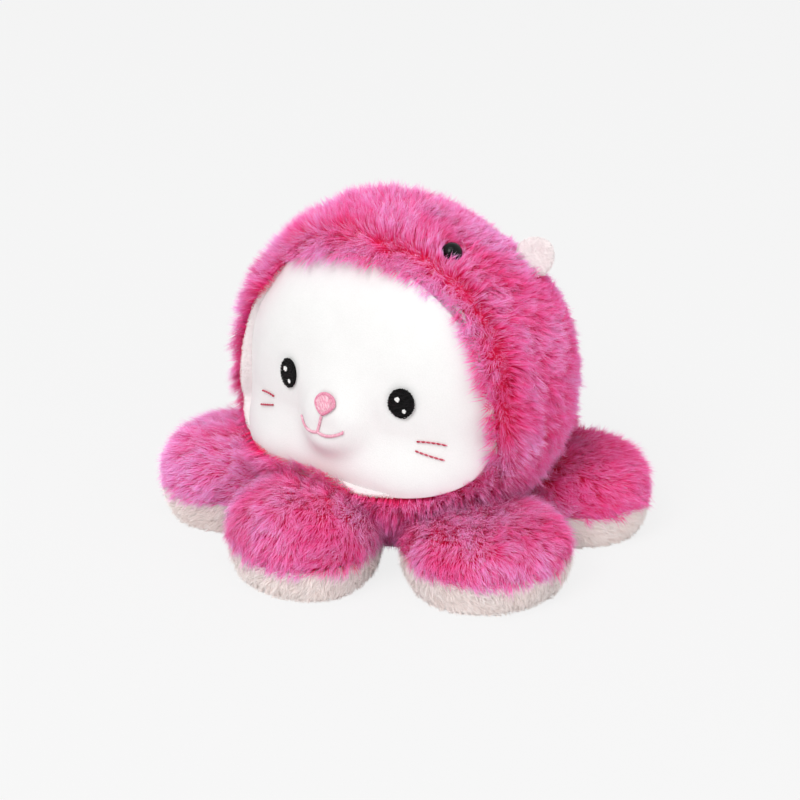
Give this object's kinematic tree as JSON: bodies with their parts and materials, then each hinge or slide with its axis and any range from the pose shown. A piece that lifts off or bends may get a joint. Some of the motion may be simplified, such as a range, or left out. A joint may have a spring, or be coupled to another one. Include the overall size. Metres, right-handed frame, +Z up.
{
  "type": "plush kitten in octopus costume",
  "caption": "Stuffed kitten with an embroidered white face in a long-pile pink octopus costume, with soft ears and padded tentacles that have pale soles.",
  "frame": {"origin": "centre of the footprint on the floor", "axes": "+Z up, the face looks toward -Y, the kitten's left is +X"},
  "size_m": [0.1999, 0.22, 0.15],
  "materials": {
    "pink_fur": "long-pile plush",
    "pale_fur": "plush",
    "white_velvet": "short-pile plush",
    "ear_velvet": "short-pile plush",
    "stuffing": "polyester fibre",
    "black_thread": "satin stitch",
    "white_thread": "satin stitch",
    "rose_thread": "satin stitch",
    "red_thread": "running stitch",
    "gloss_black": "polished",
    "washer": "moulded"
  },
  "bodies": {
    "body": {"hood_front_band": "pink_fur", "hood_back_left": "pink_fur", "hood_back_right": "pink_fur", "base_panel": "pale_fur", "face_binding": "pale_fur", "face_panel": "white_velvet", "body_stuffing": "stuffing", "eye_left": "black_thread", "eye_right": "black_thread", "eye_left_glint_upper": "white_thread", "eye_left_glint_lower": "white_thread", "eye_right_glint_upper": "white_thread", "eye_right_glint_lower": "white_thread", "nose": "rose_thread", "mouth": "rose_thread", "whisker_left_upper": "red_thread", "whisker_left_lower": "red_thread", "whisker_right_upper": "red_thread", "whisker_right_lower": "red_thread", "costume_eye_left": "gloss_black", "costume_eye_right": "gloss_black", "eye_washer_left": "washer", "eye_washer_right": "washer"},
    "tentacle_front": {"tentacle_front_upper": "pink_fur", "tentacle_front_sole": "pale_fur", "tentacle_front_stuffing": "stuffing"},
    "tentacle_left_front": {"tentacle_left_front_upper": "pink_fur", "tentacle_left_front_sole": "pale_fur", "tentacle_left_front_stuffing": "stuffing"},
    "tentacle_left_rear": {"tentacle_left_rear_upper": "pink_fur", "tentacle_left_rear_sole": "pale_fur", "tentacle_left_rear_stuffing": "stuffing"},
    "tentacle_back": {"tentacle_back_upper": "pink_fur", "tentacle_back_sole": "pale_fur", "tentacle_back_stuffing": "stuffing"},
    "tentacle_right_rear": {"tentacle_right_rear_upper": "pink_fur", "tentacle_right_rear_sole": "pale_fur", "tentacle_right_rear_stuffing": "stuffing"},
    "tentacle_right_front": {"tentacle_right_front_upper": "pink_fur", "tentacle_right_front_sole": "pale_fur", "tentacle_right_front_stuffing": "stuffing"},
    "ear_left": {"ear_left_front": "ear_velvet", "ear_left_back": "ear_velvet"},
    "ear_right": {"ear_right_front": "ear_velvet", "ear_right_back": "ear_velvet"}
  },
  "joints": [
    {"name": "tentacle_front_swing", "type": "hinge", "parent": "body", "child": "tentacle_front", "pos_m": [0, -0.0598, 0.02402], "axis": [-1, 0, 0], "range_deg": [-10, 10], "stiffness_Nm_per_rad": 0.25},
    {"name": "tentacle_left_front_swing", "type": "hinge", "parent": "body", "child": "tentacle_left_front", "pos_m": [0.05179, -0.0299, 0.02402], "axis": [-0.5, -0.866, 0], "range_deg": [-10, 10], "stiffness_Nm_per_rad": 0.25},
    {"name": "tentacle_left_rear_swing", "type": "hinge", "parent": "body", "child": "tentacle_left_rear", "pos_m": [0.05179, 0.0299, 0.02402], "axis": [0.5, -0.866, 0], "range_deg": [-10, 10], "stiffness_Nm_per_rad": 0.25},
    {"name": "tentacle_back_swing", "type": "hinge", "parent": "body", "child": "tentacle_back", "pos_m": [0, 0.0598, 0.02402], "axis": [1, 0, 0], "range_deg": [-10, 10], "stiffness_Nm_per_rad": 0.25},
    {"name": "tentacle_right_rear_swing", "type": "hinge", "parent": "body", "child": "tentacle_right_rear", "pos_m": [-0.05179, 0.0299, 0.02402], "axis": [0.5, 0.866, 0], "range_deg": [-10, 10], "stiffness_Nm_per_rad": 0.25},
    {"name": "tentacle_right_front_swing", "type": "hinge", "parent": "body", "child": "tentacle_right_front", "pos_m": [-0.05179, -0.0299, 0.02402], "axis": [-0.5, 0.866, 0], "range_deg": [-10, 10], "stiffness_Nm_per_rad": 0.25},
    {"name": "ear_left_fold", "type": "hinge", "parent": "body", "child": "ear_left", "pos_m": [0.04986, 0.02615, 0.12943], "axis": [0.7493, 0, -0.6622], "range_deg": [-20, 20], "stiffness_Nm_per_rad": 0.02},
    {"name": "ear_right_fold", "type": "hinge", "parent": "body", "child": "ear_right", "pos_m": [-0.05967, 0.01675, 0.12311], "axis": [0.6431, 0, 0.7658], "range_deg": [-20, 20], "stiffness_Nm_per_rad": 0.02}
  ]
}
